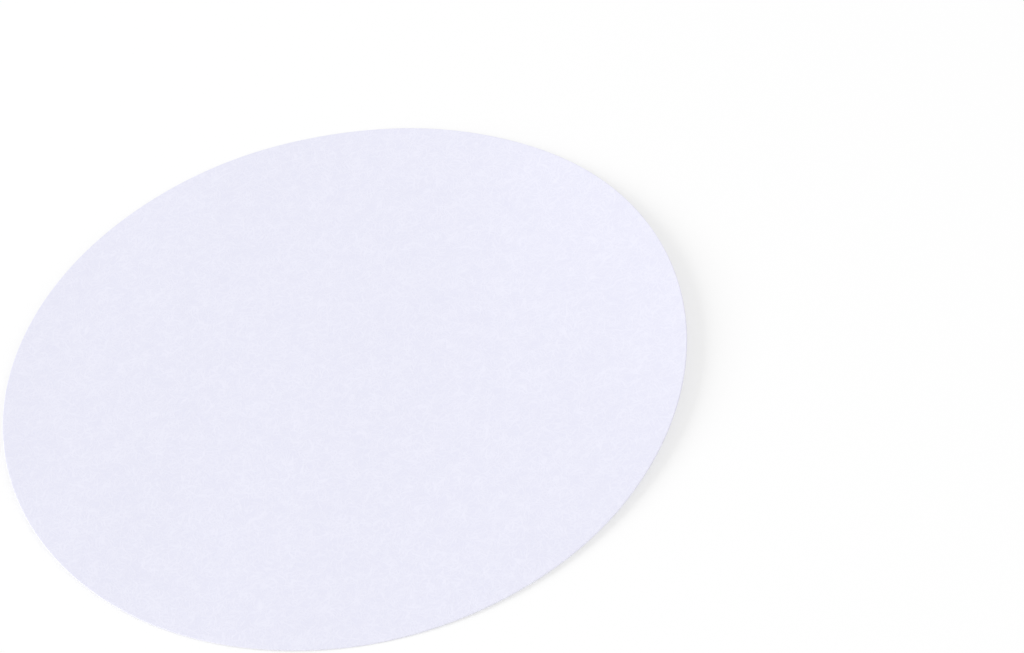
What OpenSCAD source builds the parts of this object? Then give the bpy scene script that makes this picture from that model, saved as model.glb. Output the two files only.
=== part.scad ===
// Filter paper disc: one round sheet of laboratory filter paper, lying flat.
// The origin is at the centre of the underside, and +Z points up through the sheet.
// All sizes are in millimetres.

/* [Sheet] */
// Diameter of the cut disc
disc_d = 125; // [25:0.5:500]
// Thickness of the paper
paper_t = 0.18; // [0.14:0.01:1]

/* [Cut edge] */
// Radius that the die rolls over on the face it enters, the upper one
die_roll_r = 0.06; // [0.02:0.01:0.1]
// Width of the feather that the die pulls out along the other face
feather_w = 0.04; // [0.01:0.01:0.1]
// Height of that feather above the underside
feather_h = 0.03; // [0.01:0.01:0.04]

/* [Hidden] */
paper_white = [0.93, 0.93, 0.98];
$fn = 256;

// The feather reaches the full diameter, so the wall above it stands that much further in.
wall_r = disc_d / 2 - feather_w;

// Half of the sheet's section, from the centre line out to the wall, with the rolled corner.
module sheet_section() {
    square([wall_r, paper_t - die_roll_r]);
    square([wall_r - die_roll_r, paper_t]);
    translate([wall_r - die_roll_r, paper_t - die_roll_r]) intersection() {
        circle(r = die_roll_r);
        square(die_roll_r);
    }
}

// The feather thins from its full height at the wall to a knife edge.
module feather_section() {
    polygon([[0, 0], [wall_r + feather_w, 0], [wall_r, feather_h], [0, feather_h]]);
}

module filter_disc() {
    color(paper_white) rotate_extrude() union() {
        sheet_section();
        feather_section();
    }
}

filter_disc();
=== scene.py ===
import math
import bmesh
import bpy
import numpy as np
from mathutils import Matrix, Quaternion, Vector


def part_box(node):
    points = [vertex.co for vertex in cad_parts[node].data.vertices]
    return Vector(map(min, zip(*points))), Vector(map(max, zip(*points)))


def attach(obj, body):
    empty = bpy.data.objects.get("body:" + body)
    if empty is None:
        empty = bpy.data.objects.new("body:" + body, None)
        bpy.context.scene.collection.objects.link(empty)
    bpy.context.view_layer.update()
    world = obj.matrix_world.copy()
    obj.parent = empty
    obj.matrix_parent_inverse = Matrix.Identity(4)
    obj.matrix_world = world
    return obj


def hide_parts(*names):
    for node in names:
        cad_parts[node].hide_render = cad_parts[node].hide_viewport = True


# A filter paper disc lying on a white bench. The frame's node filter_disc gives its diameter,
# its thickness and its place. Lengths are in metres, and mm() turns millimetres into them.

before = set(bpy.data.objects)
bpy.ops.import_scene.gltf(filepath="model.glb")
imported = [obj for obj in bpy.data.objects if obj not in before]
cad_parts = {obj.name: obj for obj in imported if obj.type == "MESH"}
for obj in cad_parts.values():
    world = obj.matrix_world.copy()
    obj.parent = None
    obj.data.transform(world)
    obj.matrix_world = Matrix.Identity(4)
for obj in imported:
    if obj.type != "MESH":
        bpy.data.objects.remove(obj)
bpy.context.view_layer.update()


def mm(value):
    return value * 0.001


def deselectAll():
    if bpy.context.object and bpy.context.object.mode != "OBJECT":
        bpy.ops.object.mode_set(mode="OBJECT")
    bpy.ops.object.select_all(action="DESELECT")


def linearColour(hexText):
    # an sRGB hex value as the linear colour that the nodes expect
    channels = [int(hexText[i:i + 2], 16) / 255 for i in (1, 3, 5)]
    linear = [c / 12.92 if c <= 0.04045 else ((c + 0.055) / 1.055) ** 2.4 for c in channels]
    return (*linear, 1.0)


def addNode(tree, kind, settings=None, links=None):
    # settings are the node's own properties or its inputs by name or number; links feed its inputs
    node = tree.nodes.new(kind)
    for name, value in (settings or {}).items():
        if isinstance(name, str) and name in node.bl_rna.properties:
            setattr(node, name, value)
        else:
            node.inputs[name].default_value = value
    for name, source in (links or {}).items():
        tree.links.new(source, node.inputs[name])
    return node


def newMaterial(name):
    material = bpy.data.materials.new(name)
    material.use_nodes = True
    material.node_tree.nodes.clear()
    return material, material.node_tree


sheetShape = {
    "gridPoints": 512,           # points round the grid of quads that fills each side, a multiple of 4
    "edgeCuts": 3,               # cuts added to each rim edge, so that the torn fibres of the cut show
    "edgeBand": 0.9,             # mm, width of the band of finer faces inside the cut
    "edgeSteps": (0.5, 0.8),     # shares of that band at which its inner rings lie
    "mergeGap": 0.002,           # mm, points nearer to each other than this become one
    "cutSlope": 60,              # degrees, faces steeper than this belong to the cut
    "smoothAngle": 40,           # degrees, edges sharper than this stay sharp
    "dieRoll": 0.06,             # mm, radius that the die rolls over on the upper side
    "rollSteps": 3,              # rings round that radius
    "featherWidth": 0.04,        # mm, thin lip that the die pulls out along the underside
    "featherHeight": 0.03,       # mm
    "tear": 0.016,               # mm, how far the cut wanders in and out where fibres tear
    "tearBand": 0.3,             # mm, how far in from the cut that reaches
    "tearLengths": (0.44, 3.3),  # mm, shortest and longest wave of it along the cut
    "tearWaves": 40,             # waves added together, out of step
    "tearSlant": 0.05,           # mm of thickness in which a wave slips by up to a radian
    "tearSeed": 7,               # another number tears the cut in other places
    "curl": 3.0,                 # mm, lift of the right side off the bench, from the paper's roll set
    "curlLeft": 0.35,            # share of that lift on the left side
    "curlTwist": 0.45,           # share that the lift gains from the middle to the far side
    "curlEasing": 2.4,           # power of the lift: higher lies flatter in the middle
    "cockle": 0.06,              # mm, height of each of the faint waves that drying leaves
    # those waves: degrees from X, mm from crest to crest, degrees that each starts at
    "cockleWaves": ((25, 68, 40), (78, 51, 200), (132, 83, 310), (160, 37, 95)),
    "cockleMiddle": 0.3,         # share of their height in the middle, where the sheet dried last
}


def sheetSection(shape, radius, thick):
    # (radius, height) of each ring between the two grids, over the rolled corner and down the wall
    wall = radius - mm(shape["featherWidth"])
    roll = mm(shape["dieRoll"])
    inner = radius - mm(shape["edgeBand"])
    steps = shape["edgeSteps"]
    rings = [(inner + (wall - roll - inner) * share, thick) for share in (*steps, 1.0)]
    for step in range(1, shape["rollSteps"] + 1):
        angle = math.pi / 2 * step / shape["rollSteps"]
        rings.append((wall - roll + roll * math.sin(angle), thick - roll + roll * math.cos(angle)))
    rings.append((wall, (thick - roll + mm(shape["featherHeight"])) / 2))
    rings.append((wall, mm(shape["featherHeight"])))
    rings.append((radius, 0.0))
    rings += [(inner + (wall - inner) * share, 0.0) for share in (*reversed(steps), 0.0)]
    return inner, rings


def selectRim():
    bpy.ops.mesh.select_all(action="DESELECT")
    bpy.ops.mesh.select_non_manifold(extend=False, use_wire=False, use_multi_face=False,
                                     use_non_contiguous=False, use_verts=False)


def gridDisc(name, shape, radius, height):
    # a ring filled with a grid of quads, its rim edges cut finer and left selected
    deselectAll()
    bpy.ops.mesh.primitive_circle_add(vertices=shape["gridPoints"], radius=radius, calc_uvs=False,
                                      location=(0, 0, height))
    disc = bpy.context.object
    disc.name = name
    bpy.ops.object.mode_set(mode="EDIT")
    bpy.ops.mesh.select_all(action="SELECT")
    bpy.ops.mesh.fill_grid(span=shape["gridPoints"] // 4)
    bpy.ops.mesh.select_mode(type="EDGE")
    selectRim()
    bpy.ops.mesh.subdivide(number_cuts=shape["edgeCuts"])
    # a point in the middle of each face along the rim keeps its triangles from being slivers
    bpy.ops.mesh.select_mode(type="FACE")
    bpy.ops.mesh.select_all(action="DESELECT")
    bpy.ops.mesh.select_face_by_sides(number=4, type="GREATER")
    bpy.ops.mesh.poke()
    bpy.ops.mesh.select_mode(type="EDGE")
    selectRim()
    return disc


def cornersOf(element):
    # the places of a face's or an edge's points, or of a point by itself
    return sorted(tuple(point.co) for point in getattr(element, "verts", (element,)))


def orderSheet(sheet):
    # extruding leaves the mesh in an order that changes from run to run, so it is sorted by place
    mesh = bmesh.new()
    mesh.from_mesh(sheet.data)
    for elements in (mesh.verts, mesh.edges, mesh.faces):
        for number, element in enumerate(sorted(elements, key=cornersOf)):
            element.index = number
        elements.sort()
    mesh.to_mesh(sheet.data)
    mesh.free()


def cutSheet(shape, radius, low, thick):
    inner, rings = sheetSection(shape, radius, thick)
    sheet = gridDisc("paperSheet", shape, inner, low + thick)
    # the edge is drawn out of the upper rim ring by ring
    lastRadius, lastHeight = inner, thick
    for ringRadius, ringHeight in rings:
        bpy.ops.mesh.extrude_edges_move()
        grow = ringRadius / lastRadius
        bpy.ops.transform.resize(value=(grow, grow, 1), center_override=(0, 0, 0))
        bpy.ops.transform.translate(value=(0, 0, ringHeight - lastHeight))
        lastRadius, lastHeight = ringRadius, ringHeight
    underside = gridDisc("underside", shape, inner, low)
    deselectAll()
    underside.select_set(True)
    sheet.select_set(True)
    bpy.context.view_layer.objects.active = sheet
    bpy.ops.object.join()
    bpy.ops.object.mode_set(mode="EDIT")
    bpy.ops.mesh.select_all(action="SELECT")
    bpy.ops.mesh.remove_doubles(threshold=mm(shape["mergeGap"]))
    bpy.ops.mesh.normals_make_consistent(inside=False)
    bpy.ops.object.mode_set(mode="OBJECT")
    bpy.ops.object.transform_apply(location=True, rotation=True, scale=True)
    orderSheet(sheet)
    return sheet


def sideOf(face, shape):
    # 0 on the upper side, 1 on the underside and 2 on the cut between them
    if abs(face.normal.z) < math.cos(math.radians(shape["cutSlope"])):
        return 2
    return 0 if face.normal.z > 0 else 1


def mapSheet(sheet, shape, radius, low, thick):
    # a flat map: one circle has the upper side with the cut unrolled round it, one the underside
    mesh = sheet.data
    layer = mesh.uv_layers.new(name="OFBake")  # a map of this name, laid out for baking
    reach = radius + thick
    size = (1 - math.sqrt(0.5)) / reach  # two circles that touch, in opposite corners of the square
    upperMiddle, lowerMiddle = reach * size, 1 - reach * size
    for face in mesh.polygons:
        lower = sideOf(face, shape) == 1
        middle = lowerMiddle if lower else upperMiddle
        for loop in face.loop_indices:
            x, y, z = mesh.vertices[mesh.loops[loop].vertex_index].co
            out = math.hypot(x, y)
            unrolled = 1.0 if lower or out == 0 else (out + low + thick - z) / out
            layer.data[loop].uv = (middle + x * unrolled * size, middle + y * unrolled * size)


def tornCut(shape, radius, reach, angle, height):
    # how far out the cut wanders at each point, never past the disc's own diameter
    random = np.random.default_rng(shape["tearSeed"])
    shortest, longest = shape["tearLengths"]
    rim = 2 * math.pi * radius
    fewest, most = round(rim / mm(longest)), round(rim / mm(shortest))
    tear = np.zeros(len(angle))
    for waves in random.integers(fewest, most, shape["tearWaves"]):
        slip = random.uniform(0, 2 * math.pi) + random.uniform(-1, 1) * height / mm(shape["tearSlant"])
        tear += np.sin(waves * angle + slip)
    tear *= mm(shape["tear"]) / tear.std()
    band = mm(shape["tearBand"])
    tear *= np.clip((reach - radius + band) / band, 0, 1) ** 2
    return np.minimum(tear, radius - reach)


def curlLift(shape, x, y):
    # the two sides lift off the bench, and the middle stays on it; x and y are shares of the radius
    side = np.where(x > 0, 1.0, shape["curlLeft"])
    return mm(shape["curl"]) * side * np.abs(x) ** shape["curlEasing"] * (1 + shape["curlTwist"] * y)


def cockleLift(shape, radius, x, y):
    lift = np.zeros(len(x))
    for turn, length, start in shape["cockleWaves"]:
        across = x * math.cos(math.radians(turn)) + y * math.sin(math.radians(turn))
        lift += np.sin(2 * math.pi * across * radius / mm(length) + math.radians(start))
    middle = shape["cockleMiddle"]
    return mm(shape["cockle"]) * lift * (middle + (1 - middle) * (x ** 2 + y ** 2))


def laySheet(sheet, shape, radius):
    # vertex moves, each worked out from the point's own place; the lowest point stays on the bench
    mesh = sheet.data
    places = np.empty(len(mesh.vertices) * 3)
    mesh.vertices.foreach_get("co", places)
    places = places.reshape(-1, 3)
    x, y = places[:, 0].copy(), places[:, 1].copy()
    reach, angle = np.hypot(x, y), np.arctan2(y, x)
    tear = tornCut(shape, radius, reach, angle, places[:, 2])
    places[:, 0] += tear * np.cos(angle)
    places[:, 1] += tear * np.sin(angle)
    lift = curlLift(shape, x / radius, y / radius) + cockleLift(shape, radius, x / radius, y / radius)
    places[:, 2] += lift - lift.min()
    mesh.vertices.foreach_set("co", places.ravel())
    mesh.update()


# Cotton linter paper, felt side: bleached, unsized and uncoated, wet-laid and only lightly pressed.
# The eye sees a cool dead-matt white, faint clouds where the fibres lie thicker, and a mat of fibres.
feltSide = {
    # how much fibre lies at a point, from 0 to 1, and the sheet's colour there
    "shades": ((0.2, "#E9E9F8"), (0.45, "#EBEBF9"), (0.75, "#EFEFFC")),
    "cloud": 3.6,                # mm, size of the clouds
    "cloudDetail": 3.0,          # times that they break into clouds half as large
    "cloudRoughness": 0.55,      # strength of each size of cloud, as a share of the last
    "fibreLength": 5.5,          # mm that a fibre runs; real linters are 1 to 3 mm long
    "fibreWidth": 0.15,          # mm; real ones are 0.02 mm, too fine to show, so drawn coarser
    "fibreGap": 0.7,             # mm between the fibres of one layer
    "fibreTurns": (12, 41, 73, 104, 131, 162),  # degrees, one layer of fibres each
    "layerShift": (3.7, 5.3),    # mm from layer to layer, so that no two have their fibres in line
    "fibreBend": 1.6,            # mm that the fibres stray from straight
    "bendLength": 2.5,           # mm from one bend to the next
    "bendDetail": 1.0,           # times that the bends halve
    "breakLength": 3.2,          # mm along a layer's fibres from one end to the next
    "breakFade": (0.35, 0.65),   # level of the breaks where a fibre starts to show, and is whole
    "fibreShare": 0.45,          # share of the fibres in the colour, the rest is cloud
    "tooth": 0.25,               # mm, size of the fine grain
    "toothDetail": 2.0,          # times that it halves
    "toothShare": 0.4,           # height of the grain, as a share of the mat's depth
    "depth": 0.035,              # mm, depth of the fibre mat
    "relief": 0.35,              # share of that depth that shows
    "roughness": 0.94,
    "ior": 1.5,                  # cellulose
    "gloss": 0.3,                # an open, unsized sheet has only a trace
}

# The same paper, wire side: it lay on the forming wire, whose weave leaves a faint grid of dimples.
# The eye sees the same white, a little flatter, with that grid under slanting light.
wireSide = {
    **feltSide,
    "shades": ((0.2, "#E9E9F8"), (0.45, "#EBEBF9"), (0.75, "#EDEDFB")),
    "fibreShare": 0.3,
    "depth": 0.025,
    "wirePitch": 0.8,            # mm between dimples; a real wire has 0.4 mm, too fine to show
    "wireShare": 1.6,            # depth of the dimples, as a share of the mat's depth
    "wireTurn": 45,              # degrees from X to the wires
    "wireWander": 0.4,           # how far the wires stray, where 0 is straight
}

# The cut through the same paper: fibre ends in thin layers, torn by the die and a little greyer.
# The eye sees a fine rough line round the disc; the gaps between the fibre ends get a painted shade.
cutEdge = {
    # gaps between the fibre ends, 0, with painted shade, to the ends themselves, 1, and the colour there
    "shades": ((0.35, "#E6E6F0"), (0.65, "#F2F2FA")),
    "layer": 0.045,              # mm, height of a layer of fibre ends
    "end": 0.4,                  # mm, length of an end along the cut
    "endDetail": 2.0,            # times that the ends halve
    "depth": 0.02,               # mm, depth of the gaps between them
    "relief": 0.5,               # share of that depth that shows
    "roughness": 0.97,
    "ior": 1.5,
    "gloss": 0.3,
}


def objectMillimetres(tree):
    # the place on the sheet in millimetres, so that a pattern's scale is one over its real size
    place = addNode(tree, "ShaderNodeTexCoord")
    return addNode(tree, "ShaderNodeVectorMath", {"operation": "SCALE", "Scale": 1000.0},
                   {0: place.outputs["Object"]}).outputs[0]


def fibreLayer(tree, bent, look, number):
    # where a noise stretched one way crosses its middle, 0.5, it draws long thin lines, and a second
    # noise ends them
    shiftX, shiftY = look["layerShift"]
    placed = addNode(tree, "ShaderNodeMapping", {
        "vector_type": "TEXTURE",
        "Location": (shiftX * number, shiftY * number, 0.0),
        "Rotation": (0.0, 0.0, math.radians(look["fibreTurns"][number])),
        "Scale": (look["fibreLength"], look["fibreGap"], 1.0),
    }, {"Vector": bent})
    field = addNode(tree, "ShaderNodeTexNoise", {"noise_dimensions": "2D", "Scale": 1.0, "Detail": 0.0},
                    {"Vector": placed.outputs[0]})
    offset = addNode(tree, "ShaderNodeMath", {"operation": "SUBTRACT", 1: 0.5}, {0: field.outputs["Fac"]})
    away = addNode(tree, "ShaderNodeMath", {"operation": "ABSOLUTE"}, {0: offset.outputs[0]})
    line = addNode(tree, "ShaderNodeMapRange", {
        "interpolation_type": "SMOOTHSTEP",
        "From Max": look["fibreWidth"] / look["fibreGap"] / 2,
        "To Min": 1.0,
        "To Max": 0.0,
    }, {"Value": away.outputs[0]})
    breaks = addNode(tree, "ShaderNodeTexNoise", {
        "noise_dimensions": "2D",
        "Scale": look["fibreLength"] / look["breakLength"],
        "Detail": 0.0,
    }, {"Vector": placed.outputs[0]})
    fadeStart, fadeEnd = look["breakFade"]
    shown = addNode(tree, "ShaderNodeMapRange",
                    {"interpolation_type": "SMOOTHSTEP", "From Min": fadeStart, "From Max": fadeEnd},
                    {"Value": breaks.outputs["Fac"]})
    return addNode(tree, "ShaderNodeMath", {"operation": "MULTIPLY"},
                   {0: line.outputs[0], 1: shown.outputs[0]}).outputs[0]


def fibreMat(tree, millimetres, look):
    # the layers lie over each other, all bent by one slow noise
    stray = look["fibreBend"]
    slow = addNode(tree, "ShaderNodeTexNoise", {
        "noise_dimensions": "2D",
        "Scale": 1 / look["bendLength"],
        "Detail": look["bendDetail"],
    }, {"Vector": millimetres})
    bent = addNode(tree, "ShaderNodeVectorMath", {"operation": "MULTIPLY_ADD", 1: (stray, stray, 0.0)},
                   {0: slow.outputs["Color"], 2: millimetres}).outputs[0]
    mat = fibreLayer(tree, bent, look, 0)
    for number in range(1, len(look["fibreTurns"])):
        mat = addNode(tree, "ShaderNodeMath", {"operation": "MAXIMUM"},
                      {0: mat, 1: fibreLayer(tree, bent, look, number)}).outputs[0]
    return mat


def wireMark(tree, millimetres, look):
    # two sets of fine ridges that cross, as the forming wire leaves them
    turned = addNode(tree, "ShaderNodeMapping",
                     {"Rotation": (0.0, 0.0, math.radians(look["wireTurn"]))},
                     {"Vector": millimetres})
    ridges = [addNode(tree, "ShaderNodeTexWave", {
        "bands_direction": direction,
        "Scale": math.pi / 10 / look["wirePitch"],  # a Wave texture of scale 1 repeats every pi / 10
        "Distortion": look["wireWander"],
    }, {"Vector": turned.outputs[0]}).outputs["Fac"] for direction in ("X", "Y")]
    return addNode(tree, "ShaderNodeMath", {"operation": "MULTIPLY"},
                   {0: ridges[0], 1: ridges[1]}).outputs[0]


def mattPaper(tree, look, mass, height):
    # mass gives the colour and height the relief, and the rest is an almost bare scatter
    tint = addNode(tree, "ShaderNodeValToRGB", links={"Fac": mass})
    (low, thin), *between, (high, thick) = look["shades"]
    shades = tint.color_ramp.elements
    shades[0].position, shades[0].color = low, linearColour(thin)
    shades[1].position, shades[1].color = high, linearColour(thick)
    for level, colour in between:
        shades.new(level).color = linearColour(colour)
    bump = addNode(tree, "ShaderNodeBump", {"Strength": look["relief"], "Distance": mm(look["depth"])},
                   {"Height": height})
    paper = addNode(tree, "ShaderNodeBsdfPrincipled", {
        "Roughness": look["roughness"],
        "IOR": look["ior"],
        "Specular IOR Level": look["gloss"],
    }, {"Base Color": tint.outputs["Color"], "Normal": bump.outputs[0]})
    addNode(tree, "ShaderNodeOutputMaterial", links={"Surface": paper.outputs[0]})


def makePaperSide(name, look):
    material, tree = newMaterial(name)
    millimetres = objectMillimetres(tree)
    cloud = addNode(tree, "ShaderNodeTexNoise", {
        "Scale": 1 / look["cloud"],
        "Detail": look["cloudDetail"],
        "Roughness": look["cloudRoughness"],
    }, {"Vector": millimetres})
    tooth = addNode(tree, "ShaderNodeTexNoise",
                    {"Scale": 1 / look["tooth"], "Detail": look["toothDetail"]},
                    {"Vector": millimetres})
    fibres = fibreMat(tree, millimetres, look)
    mass = addNode(tree, "ShaderNodeMix", {"data_type": "FLOAT", 0: look["fibreShare"]},
                   {2: cloud.outputs["Fac"], 3: fibres})
    height = addNode(tree, "ShaderNodeMath", {"operation": "MULTIPLY_ADD", 1: look["toothShare"]},
                     {0: tooth.outputs["Fac"], 2: fibres}).outputs[0]
    if "wirePitch" in look:
        height = addNode(tree, "ShaderNodeMath", {"operation": "MULTIPLY_ADD", 1: look["wireShare"]},
                         {0: wireMark(tree, millimetres, look), 2: height}).outputs[0]
    mattPaper(tree, look, mass.outputs[0], height)
    return material


def makeCutEdge(name, look):
    material, tree = newMaterial(name)
    flattened = addNode(tree, "ShaderNodeMapping",
                        {"vector_type": "TEXTURE", "Scale": (look["end"], look["end"], look["layer"])},
                        {"Vector": objectMillimetres(tree)})
    ends = addNode(tree, "ShaderNodeTexNoise", {"Scale": 1.0, "Detail": look["endDetail"]},
                   {"Vector": flattened.outputs[0]})
    # one noise gives both relief and colour, so the low gaps are painted darker: painted shade
    mattPaper(tree, look, ends.outputs["Fac"], ends.outputs["Fac"])
    return material


def finishSheet(sheet, shape):
    # in the order that sideOf counts them
    for material in (makePaperSide("cottonPaperFeltSide", feltSide),
                     makePaperSide("cottonPaperWireSide", wireSide),
                     makeCutEdge("cottonPaperCutEdge", cutEdge)):
        sheet.data.materials.append(material)
    for face in sheet.data.polygons:
        face.material_index = sideOf(face, shape)
    deselectAll()
    sheet.select_set(True)
    bpy.context.view_layer.objects.active = sheet
    bpy.ops.object.shade_smooth_by_angle(angle=math.radians(shape["smoothAngle"]))


stageLook = {
    "benchRadius": 1.6,          # m
    "benchPoints": 96,           # round its rim
    # matt white laminate: an even white that shows only the paper's shadow
    "benchColour": "#FFFFFF",
    "benchRoughness": 0.9,
    "benchGloss": 0.2,
    "benchWhite": 0.6,           # share of plain white in the bench that the camera sees
    "benchFade": 0.4,            # m from the middle to where that share starts to grow, to 1 at the rim
    "benchGap": 0.02,            # mm from the bench up to the paper's lowest point
    "skyColour": "#FFFFFF",      # of the light from all round, and of the backdrop
    "skyLight": 0.55,            # how strong that light is, where 1 is white
    # soft boxes, aimed at the disc's middle: place in m, side of the square in m, power in W
    "keySoftBox": {"place": (-3.1, 1.0, 1.9), "side": 2.4, "power": 106.0},
    "fillSoftBox": {"place": (1.3, -2.2, 1.4), "side": 2.2, "power": 24.0},
}

cameraView = {
    "lens": 120.0,               # mm
    "sensor": 36.0,              # mm across
    "elevation": 46.7,           # degrees above the bench
    "roll": -11.7,               # degrees that the camera is turned about its own axis
    "distance": 9.89,            # in disc radii, from the point that it looks at
    "aim": (0.503, 0.046),       # that point, in disc radii from the middle of the disc
    "clip": (0.01, 20.0),        # m, the nearest and the farthest that it sees
}


def seenWhite(tree):
    # 1 for the rays that carry the background to the camera, straight or by a mirror or a glass
    rays = addNode(tree, "ShaderNodeLightPath")
    first = addNode(tree, "ShaderNodeMath", {"operation": "MAXIMUM"},
                    {0: rays.outputs["Is Camera Ray"], 1: rays.outputs["Is Glossy Ray"]})
    return addNode(tree, "ShaderNodeMath", {"operation": "MAXIMUM"},
                   {0: first.outputs[0], 1: rays.outputs["Is Transmission Ray"]}).outputs[0]


def makeBench(look, low):
    deselectAll()
    bpy.ops.mesh.primitive_circle_add(vertices=look["benchPoints"], radius=look["benchRadius"],
                                      fill_type="NGON", location=(0, 0, low - mm(look["benchGap"])))
    bench = bpy.context.object
    bench.name = "bench"
    material, tree = newMaterial("whiteLaminateBench")
    laminate = addNode(tree, "ShaderNodeBsdfPrincipled", {
        "Base Color": linearColour(look["benchColour"]),
        "Roughness": look["benchRoughness"],
        "Specular IOR Level": look["benchGloss"],
    })
    white = addNode(tree, "ShaderNodeEmission", {"Strength": 1.0})
    # towards its rim the bench turns as white as the backdrop, so that the rim doesn't show
    place = addNode(tree, "ShaderNodeTexCoord")
    out = addNode(tree, "ShaderNodeVectorMath", {"operation": "LENGTH"}, {0: place.outputs["Object"]})
    whiteShare = addNode(tree, "ShaderNodeMapRange", {
        "interpolation_type": "SMOOTHSTEP",
        "From Min": look["benchFade"],
        "From Max": look["benchRadius"],
        "To Min": look["benchWhite"],
        "To Max": 1.0,
    }, {"Value": out.outputs["Value"]})
    seenShare = addNode(tree, "ShaderNodeMath", {"operation": "MULTIPLY"},
                        {0: seenWhite(tree), 1: whiteShare.outputs[0]})
    surface = addNode(tree, "ShaderNodeMixShader",
                      links={0: seenShare.outputs[0], 1: laminate.outputs[0], 2: white.outputs[0]})
    addNode(tree, "ShaderNodeOutputMaterial", links={"Surface": surface.outputs[0]})
    bench.data.materials.append(material)
    return bench


def addSoftBox(look, name):
    box = look[name]
    deselectAll()
    bpy.ops.object.light_add(type="AREA", location=box["place"])
    lamp = bpy.context.object
    lamp.name = name
    lamp.rotation_mode = "QUATERNION"
    lamp.rotation_quaternion = (-Vector(box["place"])).to_track_quat("-Z", "Y")
    lamp.data.shape = "SQUARE"
    lamp.data.size = box["side"]
    lamp.data.energy = box["power"]


def makeWorld(look):
    world = bpy.data.worlds.new("studio")
    world.use_nodes = True
    tree = world.node_tree
    tree.nodes.clear()
    colour = linearColour(look["skyColour"])
    sky = addNode(tree, "ShaderNodeBackground", {"Color": colour, "Strength": look["skyLight"]})
    backdrop = addNode(tree, "ShaderNodeBackground", {"Color": colour, "Strength": 1.0})
    surface = addNode(tree, "ShaderNodeMixShader",
                      links={0: seenWhite(tree), 1: sky.outputs[0], 2: backdrop.outputs[0]})
    addNode(tree, "ShaderNodeOutputWorld", links={"Surface": surface.outputs[0]})
    bpy.context.scene.world = world


def makeCamera(view, radius):
    deselectAll()
    rise = math.radians(view["elevation"])
    back = Vector((0.0, -math.cos(rise), math.sin(rise)))
    aim = Vector((*view["aim"], 0.0)) * radius
    bpy.ops.object.camera_add(location=aim + back * view["distance"] * radius)
    camera = bpy.context.object
    camera.name = "studioCamera"
    camera.rotation_mode = "QUATERNION"
    level = (-back).to_track_quat("-Z", "Y")
    camera.rotation_quaternion = level @ Quaternion((0, 0, 1), math.radians(view["roll"]))
    camera.data.lens = view["lens"]
    camera.data.sensor_width = view["sensor"]
    camera.data.clip_start, camera.data.clip_end = view["clip"]
    bpy.context.scene.camera = camera


print("cutting the sheet")
boxLow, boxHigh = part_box("filter_disc")
discRadius = boxHigh.x          # the origin is the centre of the underside
discThick = boxHigh.z - boxLow.z
paper = cutSheet(sheetShape, discRadius, boxLow.z, discThick)

print("mapping it and making its paper")
mapSheet(paper, sheetShape, discRadius, boxLow.z, discThick)
finishSheet(paper, sheetShape)

print("laying it down")
laySheet(paper, sheetShape, discRadius)
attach(paper, "root")
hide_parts("filter_disc")

print("setting the bench, the lamps and the camera")
makeBench(stageLook, boxLow.z)
makeWorld(stageLook)
addSoftBox(stageLook, "keySoftBox")
addSoftBox(stageLook, "fillSoftBox")
makeCamera(cameraView, discRadius)
bpy.context.scene.view_settings.view_transform = "Standard"

print("done:", len(paper.data.polygons), "faces in the sheet")
